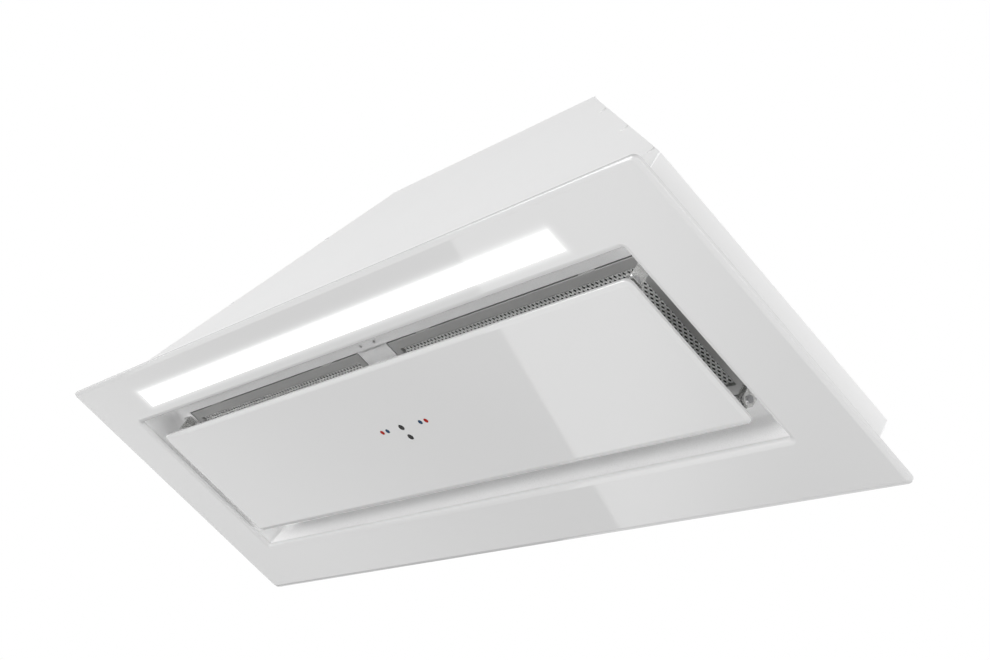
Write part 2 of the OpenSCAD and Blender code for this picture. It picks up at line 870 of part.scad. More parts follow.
// Motor can with a narrow nose, hollow for its shaft and bearings
module motor() placed() color("darkgray") on_axis() {
    nose_x = motor_x0 + motor_l;
    difference() {
        union() {
            rod_x(motor_x0, nose_x, motor_r);
            rod_x(nose_x, nose_x + motor_nose_l, motor_nose_r);
        }
        rod_x(0, nose_x + motor_nose_l + cut, shaft_r + bearing_wall);
    }
}

// Spider that holds the motor in the right inlet
module motor_bracket() placed() color("silver") on_axis() {
    x0 = scroll_l / 2;
    x1 = x0 + spider_l;
    difference() {
        union() {
            rod_x(x0, x0 + inlet_ring_t, inlet_r + 2 * inlet_seat);
            rod_x(x0, x1, motor_r + spider_wall);
        }
        difference() {
            rod_x(x0 - cut, x1 + cut, inlet_r);
            rod_x(x0 - cut, x1 + cut, motor_r + spider_wall);
            for (angle = [90, 210, 330]) {
                rotate([angle, 0, 0])
                    block([x0 - cut, -spider_arm_w / 2, 0], [x1 + cut, spider_arm_w / 2, inlet_r + inlet_seat]);
            }
        }
        rod_x(x0 - cut, x1 + cut, motor_r);
    }
}

// Two plain bearings in the motor can
module motor_bearings() placed() color("peru") on_axis() {
    for (x = [motor_x0, motor_x0 + motor_l + motor_nose_l - bearing_l]) {
        difference() {
            rod_x(x, x + bearing_l, shaft_r + bearing_wall);
            rod_x(x - cut, x + bearing_l + cut, shaft_r + running_fit);
        }
    }
}

// Double-inlet impeller: hub, middle disc and two end rings, which the blades join
module impeller() placed() color("silver") on_axis() {
    difference() {
        union() {
            rod_x(-hub_l / 2 - nut_set, hub_l / 2 - nut_set, hub_r);
            rod_x(-ring_t / 2, ring_t / 2, wheel_r);
        }
        rod_x(-far, far, shaft_r);
    }
    for (side = [-1, 1]) {
        translate([side * (wheel_l - ring_t) / 2, 0, 0]) difference() {
            rod_x(-ring_t / 2, ring_t / 2, wheel_r);
            rod_x(-ring_t, ring_t, wheel_r - blade_len);
        }
    }
}

// Sheet blades of both halves of the impeller, from the middle disc to the end rings
module impeller_blades() placed() color("silver") on_axis() {
    for (turn = [0, 1], i = [0 : blade_n - 1]) {
        mirror([turn, 0, 0]) rotate([i * 360 / blade_n, 0, 0]) translate([0, 0, wheel_r - blade_len])
            rotate([-blade_lean, 0, 0])
                block([ring_t / 2, -blade_t / 2, 0], [wheel_l / 2 - ring_t, blade_t / 2, blade_len]);
    }
}

module motor_shaft() placed() color("lightgray") on_axis() {
    rod_x(-hub_l / 2 - nut_set - nut_l - shaft_tip, motor_x0 + motor_l + shaft_tip, shaft_r);
}

// Nut that holds the impeller on the shaft
module shaft_nut() placed() color("gray") on_axis() {
    difference() {
        translate([-hub_l / 2 - nut_set - nut_l, 0, 0]) rotate([0, 90, 0])
            cylinder(h = nut_l, r = shaft_r + nut_rim, $fn = 6);
        rod_x(-far, far, shaft_r);
    }
}

// Rod across the hood around the axis of the capacitor
module cap_rod(l, r) {
    translate([cap_x, l / 2, cap_z]) rotate([90, 0, 0]) cylinder(h = l, r = r, $fn = round_fn);
}

// Motor capacitor under the top plate, lying across the hood
module capacitor() placed() color("silver") cap_rod(cap_l, cap_r);

// Clip that holds the capacitor to the top plate
module capacitor_clip() placed() color("gray") {
    clip_r = cap_r + clip_t;
    difference() {
        union() {
            block([cap_x - clip_r, -clip_l / 2, cap_z], [cap_x + clip_r, clip_l / 2, body_z]);
            cap_rod(clip_l, clip_r);
        }
        cap_rod(clip_l + 2 * cut, cap_r);
    }
}

// Controls box, open below, with posts for the board
module control_box() placed() color("ivory") {
    z0 = body_z - box_h;
    inner_l = box_l - 2 * box_wall;
    inner_w = box_w - 2 * box_wall;
    difference() {
        translate([box_x, 0, 0]) plate(box_l, box_w, z0, body_z, box_r);
        translate([box_x, 0, 0]) plate(inner_l, inner_w, z0 - cut, body_z - box_wall, box_r - box_wall / 2);
        translate([box_x, gland_y, 0]) rod_z(0, body_z + cut, gland_thread_r);
    }
    for (sx = [-1, 1], sy = [-1, 1]) {
        translate([box_x + sx * (box_l / 2 - post_inset), sy * (box_w / 2 - post_inset), 0])
            rod_z(body_z - board_drop, body_z - box_wall / 2, post_r);
    }
}

// Lid that closes the controls box from below
module control_lid() placed() color("ivory") {
    z0 = body_z - box_h;
    inset = box_wall + lid_fit;
    translate([box_x, 0, 0]) {
        plate(box_l, box_w, z0 - box_wall, z0, box_r);
        plate(box_l - 2 * inset, box_w - 2 * inset, z0, z0 + lid_lip, box_r - box_wall / 2);
    }
}

// Controls board with a transformer and two relays below it
module control_board() placed() color("seagreen") {
    z1 = body_z - board_drop;
    z0 = z1 - board_t;
    translate([box_x, 0, 0]) {
        plate(board_l, board_w, z0, z1, 1);
        translate([0, board_w / 4, 0])
            block([-transformer_l / 2, -transformer_w / 2, z0 - transformer_h],
                  [transformer_l / 2, transformer_w / 2, z0]);
        for (sx = [-1, 1]) {
            translate([sx * relay_x, -board_w / 4, 0])
                block([-relay_l / 2, -relay_w / 2, z0 - relay_h], [relay_l / 2, relay_w / 2, z0]);
        }
    }
}

// Mains terminal block on the board, beside the cable entry
module terminal_block() placed() color("whitesmoke") {
    translate([box_x, terminal_y, body_z - board_drop]) difference() {
        block([-terminal_l / 2, -terminal_w / 2, 0], [terminal_l / 2, terminal_w / 2, terminal_h]);
        for (k = [-1.5 : 1 : 1.5]) {
            translate([k * terminal_pitch, 0, 0]) rod_z(terminal_floor, terminal_h + cut, terminal_hole_r);
        }
    }
}

// Cable gland through the top plate: nut, dome and thread with one bore
module cable_gland() placed() color("dimgray") {
    translate([box_x, gland_y, 0]) difference() {
        union() {
            rod_z(body_z - box_wall - gland_tail, plate_top_z, gland_thread_r);
            translate([0, 0, plate_top_z]) cylinder(h = gland_nut_h, r = gland_nut_r, $fn = 6);
            rod_z(plate_top_z, plate_top_z + gland_nut_h + gland_dome_h, gland_dome_r);
        }
        rod_z(0, far, gland_bore_r);
    }
}

// Duct collar with its foot flange, the ledge for the flaps and the pin holes
module duct_collar() placed() color("dimgray") {
    ledge_top = pin_z - flap_t / 2 - flap_seat_gap;
    difference() {
        union() {
            rod_z(plate_top_z, plate_top_z + duct_h, duct_r);
            rod_z(plate_top_z, plate_top_z + duct_flange_t, duct_flange_r);
        }
        rod_z(0, ledge_top - ledge_t, duct_bore_r);
        rod_z(0, far, duct_bore_r - ledge_w);
        rod_z(ledge_top, far, duct_bore_r);
        translate([0, 0, pin_z]) rod_x(-far, far, flap_pin_r);
        collar_screw_places() rod_z(0, far, screw_r);
    }
}

// Pin across the collar that both flaps turn on
module flap_pin() placed() color("lightgray") {
    translate([0, 0, pin_z]) rod_x(-duct_r + pin_end_gap, duct_r - pin_end_gap, flap_pin_r);
}

// Half-round flap behind the pin, with knuckles at the given places
module flap(knuckle_places) {
    reach = knuckle_r + knuckle_gap;
    translate([0, 0, pin_z]) {
        difference() {
            rod_z(-flap_t / 2, flap_t / 2, flap_r);
            block([-far, -far, -flap_t], [far, reach, flap_t]);
        }
        for (x = knuckle_places) {
            difference() {
                union() {
                    rod_x(x - knuckle_l / 2, x + knuckle_l / 2, knuckle_r);
                    block([x - knuckle_l / 2, 0, -flap_t / 2], [x + knuckle_l / 2, reach + 2, flap_t / 2]);
                }
                rod_x(-far, far, flap_pin_r + running_fit);
            }
        }
    }
}

module flap_rear() placed() color("gray") flap([-knuckle_first, knuckle_second]);

module flap_front() placed() color("gray") rotate(180) flap([-knuckle_first, knuckle_second]);

// Aluminium frame of one filter, with tabs that hang on the liner, drawn at the right
module filter_frame() {
    translate([filter_mid_x, 0, 0]) {
        difference() {
            block([-filter_l / 2, -filter_w / 2, ceiling_z], [filter_l / 2, filter_w / 2, filter_top_z]);
            block([-filter_l / 2 + filter_bar, -filter_w / 2 + filter_bar, 0],
                  [filter_l / 2 - filter_bar, filter_w / 2 - filter_bar, filter_top_z + cut]);
        }
        for (sx = [-1, 1], sy = [-1, 1]) {
            translate([sx * filter_l / 3, sy * filter_w / 2, liner_top_z])
                block([-tab_w / 2, -cut, 0], [tab_w / 2, cut, tab_t]);
            translate([sx * filter_l / 3, sy * (filter_w / 2 + tab_l / 2), liner_top_z])
                block([-tab_w / 2, -tab_l / 2, 0], [tab_w / 2, tab_l / 2, tab_t]);
        }
    }
}

// Perforated sheet in one filter
module filter_mesh() {
    mesh_x = filter_l / 2 - filter_bar;
    mesh_y = filter_w / 2 - filter_bar;
    across = floor((mesh_x - mesh_hole) / mesh_pitch);
    deep = floor((mesh_y - mesh_hole) / mesh_pitch);
    translate([filter_mid_x, 0, ceiling_z + filter_t / 2 - mesh_t]) difference() {
        block([-mesh_x, -mesh_y, 0], [mesh_x, mesh_y, mesh_t]);
        for (i = [-across : across], j = [-deep : deep]) {
            translate([i * mesh_pitch, j * mesh_pitch, mesh_t / 2])
                cube([mesh_hole, mesh_hole, 2 * mesh_t], center = true);
        }
    }
}

// Folded finger grip under the inner end of one filter
module filter_grip() {
    x0 = bridge_w / 2 + filter_gap;
    x1 = x0 + grip_set;
    block([x1, -grip_l / 2, ceiling_z - grip_t], [x0 + filter_bar, grip_l / 2, ceiling_z]);
    block([x1, -grip_l / 2, ceiling_z - grip_h], [x1 + grip_t, grip_l / 2, ceiling_z]);
}

module filter_frame_right() placed() color("darkgray") filter_frame();

module filter_mesh_right() placed() color("silver") filter_mesh();

module filter_grip_right() placed() color("gray") filter_grip();

module filter_frame_left() placed() color("darkgray") mirror([1, 0, 0]) filter_frame();

module filter_mesh_left() placed() color("silver") mirror([1, 0, 0]) filter_mesh();

module filter_grip_left() placed() color("gray") mirror([1, 0, 0]) filter_grip();

// Places of the touch marks: two pairs on the sides and two marks in the middle
module red_places() {
    for (side = [-1, 1]) {
        translate([side * mark_far + mark_shift, mark_y, 0]) children();
    }
}

module blue_places() {
    for (side = [-1, 1]) {
        translate([side * mark_near + mark_shift, mark_y, 0]) children();
    }
}

module grey_places() {
    translate([0, mark_y, 0]) children();
    translate([0, mark_y + mark_rise, 0]) children();
}

// Inlaid mark, flush with the lower face of the front glass
module mark(r) {
    rod_z(-panel_proud, -panel_proud + mark_t, r);
}

// Front glass that covers the recess, with pockets for the touch marks
module front_glass() placed() color("gainsboro") {
    difference() {
        plate(2 * panel_x, 2 * panel_y, -panel_proud, panel_top_z, panel_r);
        red_places() translate([0, 0, -cut]) rod_z(-panel_proud, cut - panel_proud + mark_t, mark_r);
        blue_places() translate([0, 0, -cut]) rod_z(-panel_proud, cut - panel_proud + mark_t, mark_r);
        grey_places() translate([0, 0, -cut]) rod_z(-panel_proud, cut - panel_proud + mark_t, mark_big_r);
    }
}

module marks_red() placed() color("firebrick") red_places() mark(mark_r);

module marks_blue() placed() color("midnightblue") blue_places() mark(mark_r);

module marks_grey() placed() color("dimgray") grey_places() mark(mark_big_r);

// Steel tray bonded to the back of the front glass, with a window for the touch board
module panel_tray() placed() color("white") {
    tray_x = hinge_x - leaf_base_l / 2 - tray_gap;
    tray_y = panel_y - tray_inset_y;
    difference() {
        block([-tray_x, -tray_y, panel_top_z], [tray_x, tray_y, panel_top_z + tray_h]);
        block([-tray_x + sheet_t, -tray_y + sheet_t, panel_top_z + sheet_t],
              [tray_x - sheet_t, tray_y - sheet_t, panel_top_z + tray_h + cut]);
        plate(touch_l + 2 * touch_gap, touch_w + 2 * touch_gap,
              panel_top_z - cut, panel_top_z + sheet_t + cut, 1);
    }
}

// Touch board against the back of the glass, with two chips and a plug
module touch_board() placed() color("seagreen") {
    z1 = panel_top_z + board_t;
    plug_x = touch_l / 2 - plug_l;
    plate(touch_l, touch_w, panel_top_z, z1, 1);
    for (sx = [-1, 1]) {
        block([sx * chip_x - chip_l / 2, -chip_w / 2, z1], [sx * chip_x + chip_l / 2, chip_w / 2, z1 + chip_h]);
    }
    block([plug_x - plug_l / 2, -plug_w / 2, z1], [plug_x + plug_l / 2, plug_w / 2, z1 + plug_h]);
}

// Plastic cover over the touch board
module touch_cover() placed() color("ivory") {
    z0 = panel_top_z + sheet_t;
    z1 = panel_top_z + tray_h;
    inner = cover_rim - cover_wall;
    difference() {
        plate(touch_l + 2 * cover_rim, touch_w + 2 * cover_rim, z0, z1, 3);
        plate(touch_l + 2 * inner, touch_w + 2 * inner, z0 - cut, z1 - cover_t, 2);
    }
}

// Hinge leaf on the back of the front glass, drawn at the right
module hinge_leaf() {
    rear = hinge_y + leaf_edge;
    difference() {
        union() {
            block([hinge_x - leaf_base_l / 2, rear - leaf_base_w, panel_top_z],
                  [hinge_x + leaf_base_l / 2, rear, panel_top_z + leaf_base_t]);
            block([hinge_x - leaf_t / 2, hinge_y - ear_r, panel_top_z], [hinge_x + leaf_t / 2, rear, hinge_z]);
            translate([0, hinge_y, hinge_z]) rod_x(hinge_x - leaf_t / 2, hinge_x + leaf_t / 2, ear_r);
        }
        translate([0, hinge_y, hinge_z]) rod_x(0, far, hinge_pin_r + running_fit);
    }
}

module hinge_leaf_right() placed() color("gray") hinge_leaf();

module hinge_leaf_left() placed() color("gray") mirror([1, 0, 0]) hinge_leaf();

// Steel strikers on the front glass, under the magnets
module catch_strikers() placed() color("gray") {
    z1 = magnet_z - striker_gap;
    x1 = striker_l / 2;
    y1 = striker_w / 2;
    for (sx = [-1, 1]) {
        translate([sx * magnet_x, -catch_y, 0]) {
            block([-x1, -y1, panel_top_z], [x1, y1 + striker_lip, panel_top_z + striker_t]);
            block([-x1, -y1, z1 - striker_t], [x1, y1, z1]);
            block([-x1, y1 - striker_t, panel_top_z], [x1, y1, z1]);
        }
    }
}

outer_glass();
glass_frame();
light_lens();
light_housing();
led_board();
led_driver();
front_sheet();
rear_sheet();
left_end_sheet();
right_end_sheet();
body_rivets();
seat_gasket();
top_plate();
top_screws();
recess_liner();
centre_bridge();
bridge_rivets();
hinge_bracket_left();
hinge_bracket_right();
hinge_pins();
catch_bracket_left();
catch_bracket_right();
catch_magnets();
blower_shell_left();
blower_shell_right();
inlet_ring();
motor();
motor_bracket();
motor_bearings();
capacitor();
capacitor_clip();
control_box();
control_lid();
control_board();
terminal_block();
cable_gland();
duct_collar();
flap_pin();
impeller();
impeller_blades();
motor_shaft();
shaft_nut();
flap_front();
flap_rear();
filter_frame_left();
filter_mesh_left();
filter_grip_left();
filter_frame_right();
filter_mesh_right();
filter_grip_right();
front_glass();
panel_tray();
touch_board();
touch_cover();
marks_red();
marks_blue();
marks_grey();
hinge_leaf_left();
hinge_leaf_right();
catch_strikers();
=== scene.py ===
"""The looks of a built-in range hood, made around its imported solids.

Lengths are in metres, and values times mm are in millimetres. The frame's origin is the middle of
the hanging holes on the top plate, +Z is up, +X runs along the hood and +Y from the light strip at
the front to the rear.
"""

import json
import math

import bmesh
import bpy
from mathutils import Matrix, Vector
from mathutils.geometry import delaunay_2d_cdt


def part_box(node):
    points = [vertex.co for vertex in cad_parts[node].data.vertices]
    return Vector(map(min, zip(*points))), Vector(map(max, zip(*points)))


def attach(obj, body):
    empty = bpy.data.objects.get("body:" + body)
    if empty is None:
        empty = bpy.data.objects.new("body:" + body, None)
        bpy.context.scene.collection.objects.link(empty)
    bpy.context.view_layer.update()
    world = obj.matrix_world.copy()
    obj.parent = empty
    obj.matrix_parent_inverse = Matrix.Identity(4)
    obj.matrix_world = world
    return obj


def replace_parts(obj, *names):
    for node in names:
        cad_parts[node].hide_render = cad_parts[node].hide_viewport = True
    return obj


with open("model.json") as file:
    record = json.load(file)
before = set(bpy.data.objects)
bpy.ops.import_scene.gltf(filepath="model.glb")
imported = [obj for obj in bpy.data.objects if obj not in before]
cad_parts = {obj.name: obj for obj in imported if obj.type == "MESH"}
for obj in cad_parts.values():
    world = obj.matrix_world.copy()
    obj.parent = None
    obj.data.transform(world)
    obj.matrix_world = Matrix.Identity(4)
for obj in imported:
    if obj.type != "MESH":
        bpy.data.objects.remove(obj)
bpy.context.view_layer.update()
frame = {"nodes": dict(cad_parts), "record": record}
nodes = frame["nodes"]
mm = 0.001
white = (1, 1, 1, 1)

# Boxes of the solids that the new meshes follow
glass_low, glass_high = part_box("outer_glass")
panel_low, panel_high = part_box("front_glass")
lens_low, lens_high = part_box("light_lens")
liner_low, liner_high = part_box("recess_liner")
face_z = glass_low.z


# Materials

noise_low, noise_high = 0.3, 0.7  # nearly all of the noise lies between these
grain_strength = 0.4

glass_white = (0.59, 0.59, 0.59)
glass_drift, glass_drift_scale = 0.006, 3.0
glass_rough_low, glass_rough_high, glass_smear_scale = 0.025, 0.045, 14.0
glass_ior = 1.5
# Painted glow: emission on the white glass around the light window, though the glass is no lamp
glow_fade = 2.4 * mm
glow_strength = 0.42
glow_left_stretch = 2.0  # how much further the light reaches at the left end

lens_white = (0.93, 0.93, 0.93)
lens_drift, lens_drift_scale = 0.02, 40.0
lens_glow_low, lens_glow_high = 0.95, 1.15
lens_roughness = 0.5

# Painted shade: the dark grey of a sheet that stands in for the shaded deeper layers of mesh in the
# filters
painted_shade_grey = (0.1, 0.1, 0.1)
painted_shade_roughness = 0.95


def new_material(name):
    made = bpy.data.materials.new(name)
    made.use_nodes = True
    return made, made.node_tree.nodes, made.node_tree.links, made.node_tree.nodes["Principled BSDF"]


def object_place(tree_nodes):
    return tree_nodes.new("ShaderNodeTexCoord").outputs["Object"]


def noise(tree_nodes, links, place, scale, detail=3.0, stretch=(1, 1, 1)):
    """Noise in object space.

    scale is in features per metre, and a stretch below 1 makes them longer along that axis.
    """
    mapping = tree_nodes.new("ShaderNodeMapping")
    mapping.inputs["Scale"].default_value = stretch
    links.new(place, mapping.inputs["Vector"])
    made = tree_nodes.new("ShaderNodeTexNoise")
    made.inputs["Scale"].default_value = scale
    made.inputs["Detail"].default_value = detail
    links.new(mapping.outputs["Vector"], made.inputs["Vector"])
    return made.outputs["Fac"]


def ramp(tree_nodes, links, value, low, high):
    """Maps noise to the range from low to high."""
    made = tree_nodes.new("ShaderNodeMapRange")
    made.inputs["From Min"].default_value = noise_low
    made.inputs["From Max"].default_value = noise_high
    made.inputs["To Min"].default_value = low
    made.inputs["To Max"].default_value = high
    links.new(value, made.inputs["Value"])
    return made.outputs["Result"]


def tinted(tree_nodes, links, value, colour, spread):
    """A colour that varies by a share of itself with the value."""
    made = tree_nodes.new("ShaderNodeMix")
    made.data_type = "RGBA"
    factor, dark, light = made.inputs[0], made.inputs[6], made.inputs[7]
    dark.default_value = [c * (1 - spread) for c in colour] + [1]
    light.default_value = [min(1, c * (1 + spread)) for c in colour] + [1]
    links.new(value, factor)
    return made.outputs[2]


def bump(tree_nodes, links, value, shader, strength, distance):
    made = tree_nodes.new("ShaderNodeBump")
    made.inputs["Strength"].default_value = strength
    made.inputs["Distance"].default_value = distance
    links.new(value, made.inputs["Height"])
    links.new(made.outputs["Normal"], shader.inputs["Normal"])


def math_node(tree_nodes, links, operation, a, b):
    """A math node; a and b are outputs or numbers."""
    made = tree_nodes.new("ShaderNodeMath")
    made.operation = operation
    for k, value in enumerate((a, b)):
        if isinstance(value, (int, float)):
            made.inputs[k].default_value = value
        else:
            links.new(value, made.inputs[k])
    return made.outputs[0]


def surface(name, colour, roughness, metallic=0.0, spread=0.03, scale=60, grain=900,
            grain_depth=0.02 * mm, rough_spread=0.05, stretch=(1, 1, 1)):
    """A finish with slow colour variation, uneven gloss and a fine grain.

    spread and rough_spread say how far the colour and the roughness vary. scale and grain are the
    sizes of that noise, in features per metre.
    """
    made, n, links, shader = new_material(name)
    place = object_place(n)
    slow = noise(n, links, place, scale, stretch=stretch)
    links.new(tinted(n, links, slow, colour, spread), shader.inputs["Base Color"])
    fine = noise(n, links, place, grain, detail=2.0, stretch=stretch)
    uneven = ramp(n, links, fine, roughness - rough_spread, roughness + rough_spread)
    links.new(uneven, shader.inputs["Roughness"])
    shader.inputs["Metallic"].default_value = metallic
    if grain_depth:
        bump(n, links, fine, shader, grain_strength, grain_depth)
    return made


def glass(name, glow_box=None):
    """Gloss glass painted white on its back, with a painted glow: emission on the glass around the
    light window stands in for the light that leaks into it.
    """
    made, n, links, shader = new_material(name)
    place = object_place(n)
    slow = noise(n, links, place, glass_drift_scale)
    links.new(tinted(n, links, slow, glass_white, glass_drift), shader.inputs["Base Color"])
    smear = noise(n, links, place, glass_smear_scale)
    uneven = ramp(n, links, smear, glass_rough_low, glass_rough_high)
    links.new(uneven, shader.inputs["Roughness"])
    shader.inputs["IOR"].default_value = glass_ior
    # Painted glow: the glass itself emits light near the window
    if glow_box:
        shader.inputs["Emission Color"].default_value = white
        glow = painted_window_glow(n, links, place, *glow_box)
        links.new(glow, shader.inputs["Emission Strength"])
    return made


def painted_window_glow(n, links, place, low, high):
    """Painted glow: emission that fades with the distance from a rectangle."""
    parts = n.new("ShaderNodeSeparateXYZ")
    links.new(place, parts.inputs["Vector"])
    squares = []
    for axis, a, b, share in (("X", low.x, high.x, 1 / glow_left_stretch), ("Y", low.y, high.y, 1)):
        to_low = math_node(n, links, "SUBTRACT", a, parts.outputs[axis])
        to_high = math_node(n, links, "SUBTRACT", parts.outputs[axis], b)
        before = math_node(n, links, "MAXIMUM", to_low, 0)
        after = math_node(n, links, "MAXIMUM", to_high, 0)
        away = math_node(n, links, "ADD", math_node(n, links, "MULTIPLY", before, share), after)
        squares.append(math_node(n, links, "MULTIPLY", away, away))
    distance = math_node(n, links, "SQRT", math_node(n, links, "ADD", *squares), 0)
    falling = math_node(n, links, "DIVIDE", distance, -glow_fade)
    fade = math_node(n, links, "EXPONENT", falling, 0)
    return math_node(n, links, "MULTIPLY", fade, glow_strength)


def lit_lens(name):
    """Opal plastic, lit from behind, a little unevenly."""
    made, n, links, shader = new_material(name)
    place = object_place(n)
    slow = noise(n, links, place, lens_drift_scale)
    links.new(tinted(n, links, slow, lens_white, lens_drift), shader.inputs["Base Color"])
    glow = ramp(n, links, slow, lens_glow_low, lens_glow_high)
    links.new(glow, shader.inputs["Emission Strength"])
    shader.inputs["Emission Color"].default_value = white
    shader.inputs["Roughness"].default_value = lens_roughness
    return made


def painted_shade_layer(name):
    """A dark sheet behind the first layer of mesh, painted shade that stands in for the deeper
    layers swallowing the light.
    """
    made = surface(name, painted_shade_grey, painted_shade_roughness, spread=0.3, scale=420)
    made.node_tree.nodes["Principled BSDF"].inputs["Specular IOR Level"].default_value = 0.0
    return made


# The light window in the outer glass, and the rectangle that the painted glow on the glass starts
# from
window_low = Vector((-330.5 * mm, -132.7 * mm, 0))
window_high = Vector((332.3 * mm, -113.2 * mm, 0))
glow_low = window_low + Vector((1.3, -1.2, 0)) * mm
glow_high = window_high + Vector((0.3, -1.3, 0)) * mm

# Finishes: colour, roughness and metallic, then how the colour and the grain vary
sheet_look = {"spread": 0.012, "scale": 18, "grain": 1400}
body_look = {"spread": 0.012, "scale": 12, "grain": 1400}
mark_look = {"spread": 0.1, "scale": 500, "grain_depth": 0}
finishes = {
    "body_sheet": ((0.86, 0.86, 0.86), 0.38, 0.0, body_look),
    # Painted shade: the body paint, made darker on the end sheets
    "shaded_end_paint": ((0.74, 0.74, 0.74), 0.38, 0.0, body_look),
    # Painted light: the white sheet, made lighter on the centre bridge
    "lit_bridge_paint": ((0.97, 0.97, 0.97), 0.34, 0.0,
                     {"spread": 0.01, "scale": 18, "grain": 1400}),
    "white_sheet": ((0.82, 0.82, 0.82), 0.34, 0.0, sheet_look),
    # Painted light: the white sheet, made lighter on the recess liner
    "lit_liner_paint": ((0.90, 0.90, 0.90), 0.3, 0.0, sheet_look),
    "zinc_sheet": ((0.55, 0.56, 0.57), 0.34, 0.9,
                   {"spread": 0.14, "scale": 90, "rough_spread": 0.1}),
    "white_board": ((0.80, 0.81, 0.78), 0.35, 0.0, {"spread": 0.04, "scale": 200}),
    "white_plastic": ((0.76, 0.76, 0.73), 0.5, 0.0, {"grain": 1800}),
    "rivet_metal": ((0.66, 0.66, 0.66), 0.3, 0.9, {}),
    "foam_rubber": ((0.045, 0.045, 0.046), 0.85, 0.0,
                    {"spread": 0.2, "scale": 300, "grain_depth": 0.2 * mm}),
    "screw_steel": ((0.42, 0.42, 0.43), 0.3, 1.0, {"spread": 0.08, "scale": 300}),
    "bright_steel": ((0.74, 0.74, 0.73), 0.26, 0.85,
                     {"spread": 0.05, "scale": 250, "grain_depth": 0}),
    "magnet": ((0.55, 0.55, 0.56), 0.2, 1.0, {"spread": 0.04, "scale": 200}),
    "black_plastic": ((0.03, 0.03, 0.032), 0.48, 0.0,
                      {"spread": 0.15, "scale": 120, "grain": 2500}),
    "grey_plastic": ((0.20, 0.20, 0.21), 0.45, 0.0,
                     {"spread": 0.08, "scale": 120, "grain": 2500}),
    "motor_metal": ((0.40, 0.40, 0.41), 0.42, 0.9, {"spread": 0.1, "scale": 150}),
    "bronze": ((0.50, 0.31, 0.13), 0.4, 1.0, {"spread": 0.12, "scale": 400}),
    "capacitor_can": ((0.60, 0.60, 0.61), 0.3, 1.0, {"spread": 0.06, "scale": 150}),
    "green_board": ((0.02, 0.16, 0.07), 0.3, 0.0, {"spread": 0.15, "scale": 350}),
    "filter_aluminium": ((0.50, 0.50, 0.495), 0.4, 0.35,
                         {"spread": 0.06, "scale": 120, "stretch": (0.1, 1, 1)}),
    "mesh_aluminium": ((0.93, 0.93, 0.92), 0.45, 0.0,
                       {"spread": 0.05, "scale": 260, "grain_depth": 0}),
    "red_mark": ((0.30, 0.010, 0.006), 0.2, 0.0, mark_look),
    "blue_mark": ((0.018, 0.045, 0.09), 0.2, 0.0, mark_look),
    "grey_mark": ((0.03, 0.03, 0.03), 0.2, 0.0, mark_look),
}
looks = {
    "white_glass": glass("white_glass", (glow_low, glow_high)),
    "panel_glass": glass("panel_glass"),
    "opal_lens": lit_lens("opal_lens"),
    "painted_shade_mesh": painted_shade_layer("painted_shade_mesh"),
}
for name, (colour, roughness, metallic, variation) in finishes.items():
    looks[name] = surface(name, colour, roughness, metallic, **variation)


# CAD nodes keep their shape. They get the finish of their slot, and some get softer edges. The end
# sheets get a darker copy of the body paint, painted shade, and the centre bridge a lighter copy of
# the white sheet, painted light.

weld_distance = 0.01 * mm
flat_angle = math.radians(1)
sharp_angle = math.radians(40)
bevel_segments = 2


def repaint(node, finish):
    materials = nodes[node].data.materials
    materials.clear()
    materials.append(looks[finish])


def soften(node, width):
    """Breaks the sharp edges of a CAD node, so that they catch the light."""
    obj = nodes[node]
    weld = obj.modifiers.new("weld", "WELD")
    weld.merge_threshold = weld_distance
    flat = obj.modifiers.new("flat", "DECIMATE")
    flat.decimate_type = "DISSOLVE"
    flat.angle_limit = flat_angle
    edge = obj.modifiers.new("edge", "BEVEL")
    edge.width = width
    edge.segments = bevel_segments
    edge.limit_method = "ANGLE"
    edge.angle_limit = sharp_angle


# Darker and lighter copies of a paint: painted shade on the end sheets, painted light on the centre
# bridge
lit_and_shaded_paints = {
    "left_end_sheet": "shaded_end_paint",
    "right_end_sheet": "shaded_end_paint",
    "centre_bridge": "lit_bridge_paint",
}
for part in frame["record"]["subparts"]:
    repaint(part["node"], lit_and_shaded_paints.get(part["node"], part["material_slot"]))

soft_edges = {
    0.5 * mm: ("filter_frame_left", "filter_frame_right", "panel_tray", "centre_bridge"),
    0.4 * mm: ("hinge_bracket_left", "hinge_bracket_right", "catch_bracket_left",
               "catch_bracket_right", "hinge_leaf_left", "hinge_leaf_right", "catch_strikers",
               "control_box", "control_lid", "touch_cover", "filter_grip_left",
               "filter_grip_right"),
}
for edge_width, softened in soft_edges.items():
    for node in softened:
        soften(node, edge_width)


# Tools for the new meshes

crease_angle = math.radians(35)
level_normal = 0.99999
same_point = 1e-6
fill_precision = 1e-7
least_corner = 0.2 * mm
corner_steps = 8
circle_steps = 24


def build(name, bm, body, slot, *names, smooth=True):
    """Makes an object from bmesh data, gives it its materials and ties it to its body."""
    bmesh.ops.recalc_face_normals(bm, faces=bm.faces)
    data = bpy.data.meshes.new(name)
    bm.to_mesh(data)
    bm.free()
    obj = bpy.data.objects.new(name, data)
    bpy.context.scene.collection.objects.link(obj)
    for finish in names:
        data.materials.append(looks[finish])
    if smooth:
        data.shade_smooth()
        data.set_sharp_from_angle(angle=crease_angle)
        for face in data.polygons:
            if abs(face.normal.z) > level_normal:
                face.use_smooth = False
    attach(obj, body)
    return obj


def rounded_outline(low, high, radius, steps=corner_steps):
    """Points of a rectangle with rounded corners, anticlockwise."""
    corners = ((high.x, high.y), (low.x, high.y), (low.x, low.y), (high.x, low.y))
    points = []
    for corner, (x, y) in enumerate(corners):
        cx = x - radius if x == high.x else x + radius
        cy = y - radius if y == high.y else y + radius
        for k in range(steps + 1):
            a = math.pi / 2 * (corner + k / steps)
            points.append(Vector((cx + radius * math.cos(a), cy + radius * math.sin(a))))
    return points


